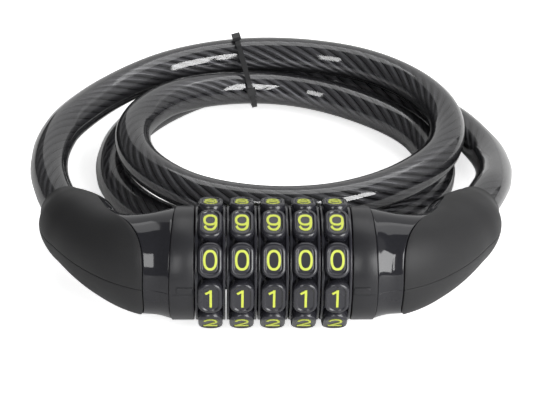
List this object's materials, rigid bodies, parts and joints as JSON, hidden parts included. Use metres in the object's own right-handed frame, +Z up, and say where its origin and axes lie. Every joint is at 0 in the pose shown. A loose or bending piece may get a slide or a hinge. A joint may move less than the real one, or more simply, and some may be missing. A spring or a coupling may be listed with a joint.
{
  "type": "combination cable lock",
  "caption": "Combination cable lock: numbered dials on a barrel between two curved end housings, with a coiled steel cable that plugs into one end.",
  "frame": {"origin": "the point on the ground straight below the middle of the barrel, where the dials' lowest pads rest", "axes": "+X along the barrel towards the plug end that pulls out, +Y back into the cable's coil, +Z up"},
  "size_m": [0.1576, 0.1622, 0.0396],
  "materials": {
    "cap_plastic": "fine matte",
    "collar_plastic": "high gloss",
    "dial_plastic": "satin",
    "numeral_paint": "satin",
    "code_brass": "machined",
    "zinc": "die-cast",
    "spring_steel": "bright",
    "ferrule_alloy": "crimped",
    "cable_sheath": "smoky translucent vinyl over twisted steel strands",
    "tie_plastic": "satin"
  },
  "bodies": {
    "lock_body": {"left_cap_upper": "cap_plastic", "left_cap_lower": "cap_plastic", "left_collar": "collar_plastic", "left_ring": "collar_plastic", "right_ring": "collar_plastic", "barrel": "zinc", "barrel_clip": "spring_steel", "detent_spring": "spring_steel", "left_end_block": "zinc", "left_ferrule": "ferrule_alloy", "left_ferrule_pin": "spring_steel", "left_barrel_pin": "spring_steel", "cable": "cable_sheath", "cable_tie": "tie_plastic"},
    "plug": {"right_cap_upper": "cap_plastic", "right_cap_lower": "cap_plastic", "right_collar": "collar_plastic", "plug": "zinc", "plug_pin_rivet": "spring_steel", "right_end_block": "zinc", "right_ferrule": "ferrule_alloy", "right_ferrule_pin": "spring_steel"},
    "dial_1": {"dial_wheel_1": "dial_plastic", "code_ring_1": "code_brass", "numerals_1": "numeral_paint"},
    "dial_2": {"dial_wheel_2": "dial_plastic", "code_ring_2": "code_brass", "numerals_2": "numeral_paint"},
    "dial_3": {"dial_wheel_3": "dial_plastic", "code_ring_3": "code_brass", "numerals_3": "numeral_paint"},
    "dial_4": {"dial_wheel_4": "dial_plastic", "code_ring_4": "code_brass", "numerals_4": "numeral_paint"},
    "dial_5": {"dial_wheel_5": "dial_plastic", "code_ring_5": "code_brass", "numerals_5": "numeral_paint"}
  },
  "joints": [
    {"name": "dial_1_turn", "type": "hinge", "parent": "lock_body", "child": "dial_1", "pos_m": [-0.0184, 0, 0.0198], "axis": [1, 0, 0], "continuous": true, "deforming": ["detent_spring"]},
    {"name": "dial_2_turn", "type": "hinge", "parent": "lock_body", "child": "dial_2", "pos_m": [-0.0092, 0, 0.0198], "axis": [1, 0, 0], "continuous": true, "deforming": ["detent_spring"]},
    {"name": "dial_3_turn", "type": "hinge", "parent": "lock_body", "child": "dial_3", "pos_m": [0, 0, 0.0198], "axis": [1, 0, 0], "continuous": true, "deforming": ["detent_spring"]},
    {"name": "dial_4_turn", "type": "hinge", "parent": "lock_body", "child": "dial_4", "pos_m": [0.0092, 0, 0.0198], "axis": [1, 0, 0], "continuous": true, "deforming": ["detent_spring"]},
    {"name": "dial_5_turn", "type": "hinge", "parent": "lock_body", "child": "dial_5", "pos_m": [0.0184, 0, 0.0198], "axis": [1, 0, 0], "continuous": true, "deforming": ["detent_spring"]},
    {"name": "plug_pull", "type": "slide", "parent": "lock_body", "child": "plug", "axis": [1, 0, 0], "range_m": [0, 0.056], "deforming": ["cable", "cable_tie"]}
  ]
}
